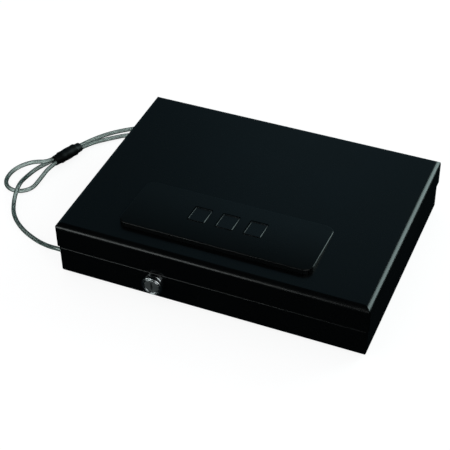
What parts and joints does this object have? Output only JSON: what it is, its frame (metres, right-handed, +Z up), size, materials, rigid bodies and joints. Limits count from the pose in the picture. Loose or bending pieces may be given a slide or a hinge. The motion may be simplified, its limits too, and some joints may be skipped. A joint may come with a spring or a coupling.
{
  "type": "portable security case",
  "caption": "Flat steel security case with a hinged lid, push-button keypad, key override lock and a security cable whose end loop runs round the cable.",
  "frame": {"origin": "middle of the case's flat underside, on the surface it stands on", "axes": "+X to the right along the front wall, +Y towards the hinge at the back, +Z up"},
  "size_m": [0.3924, 0.2756, 0.0606],
  "materials": {
    "black_coat": "satin powder coat",
    "black_plastic": "satin moulded plastic",
    "button_black": "satin moulded plastic",
    "inner_plastic": "textured",
    "program_red": "gloss",
    "chrome": "polished",
    "nickel": "satin nickel",
    "zinc_steel": "zinc plated",
    "black_steel": "satin powder coat",
    "bright_screw": "zinc plated",
    "spring_steel": "plain",
    "coil_tape": "wrapped tape",
    "board_green": "solder mask",
    "switch_black": "moulded",
    "cell_wrap": "wrapped",
    "contact_nickel": "nickel plated",
    "lead_red": "insulated",
    "foam": "open-cell foam",
    "grommet_rubber": "moulded",
    "clear_coated_rope": "clear coat over steel rope",
    "sleeve_black": "black coated",
    "ferrule": "plain"
  },
  "bodies": {
    "base": {"base_shell": "black_coat", "foam_pad": "foam", "striker_brackets": "zinc_steel", "striker_rivets": "black_steel", "hinge_leaf_base": "black_steel", "hinge_pin": "zinc_steel", "hinge_rivets_base": "black_steel", "lock_body": "chrome", "lock_nut": "zinc_steel", "cable_grommet": "grommet_rubber", "cable_stop": "ferrule", "security_cable": "clear_coated_rope", "crimp_sleeve": "sleeve_black"},
    "lid": {"lid_shell": "black_coat", "lid_foam": "foam", "hinge_leaf_lid": "black_steel", "hinge_rivets_lid": "black_steel", "control_panel": "black_plastic", "panel_screws": "bright_screw", "circuit_board": "board_green", "board_screws": "bright_screw", "tact_switches": "switch_black", "control_chip": "switch_black", "buzzer": "switch_black", "lid_housing": "inner_plastic", "lid_standoffs": "zinc_steel", "housing_screws": "bright_screw", "battery_box": "inner_plastic", "battery_cells": "cell_wrap", "battery_contacts": "contact_nickel", "battery_leads": "lead_red", "solenoid_leads": "lead_red", "latch_chassis": "zinc_steel", "latch_guide_screws": "bright_screw", "latch_guide_nuts": "bright_screw", "solenoid_frame": "zinc_steel", "solenoid_coil": "coil_tape", "latch_spring": "spring_steel"},
    "latch": {"latch_bar": "zinc_steel", "solenoid_plunger": "spring_steel", "link_pin": "zinc_steel"},
    "key": {"key_plug": "nickel", "lock_cam": "zinc_steel", "cam_screw": "zinc_steel"},
    "button_1": {"button_1": "button_black", "switch_plunger_1": "switch_black"},
    "button_2": {"button_2": "button_black", "switch_plunger_2": "switch_black"},
    "button_3": {"button_3": "button_black", "switch_plunger_3": "switch_black"},
    "program_button": {"program_button": "program_red"},
    "battery_door": {"battery_door": "inner_plastic"}
  },
  "joints": [
    {"name": "lid_hinge", "type": "hinge", "parent": "base", "child": "lid", "pos_m": [0, 0.1056, 0.0303], "axis": [-1, 0, 0], "range_deg": [0, 95]},
    {"name": "latch_slide", "type": "slide", "parent": "lid", "child": "latch", "axis": [1, 0, 0], "range_m": [0, 0.008], "deforming": ["latch_spring"]},
    {"name": "key_turn", "type": "hinge", "parent": "base", "child": "key", "pos_m": [-0.0486, -0.1, 0.0196], "axis": [0, 1, 0], "range_deg": [0, 90]},
    {"name": "button_1_press", "type": "slide", "parent": "lid", "child": "button_1", "axis": [0, -0.057, -0.9984], "range_m": [0, 0.0006], "stiffness_N_per_m": 200, "springref_m": -0.0005},
    {"name": "button_2_press", "type": "slide", "parent": "lid", "child": "button_2", "axis": [0, -0.057, -0.9984], "range_m": [0, 0.0006], "stiffness_N_per_m": 200, "springref_m": -0.0005},
    {"name": "button_3_press", "type": "slide", "parent": "lid", "child": "button_3", "axis": [0, -0.057, -0.9984], "range_m": [0, 0.0006], "stiffness_N_per_m": 200, "springref_m": -0.0005},
    {"name": "program_button_press", "type": "slide", "parent": "lid", "child": "program_button", "axis": [0, 0, 1], "range_m": [0, 0.001], "stiffness_N_per_m": 150, "springref_m": -0.0005},
    {"name": "battery_door_slide", "type": "slide", "parent": "lid", "child": "battery_door", "axis": [0, 0, -1], "range_m": [0, 0.015]}
  ],
  "couplings": [
    {"joint": "latch_slide", "follows": "key_turn", "m_per_rad": 0.005092}
  ]
}
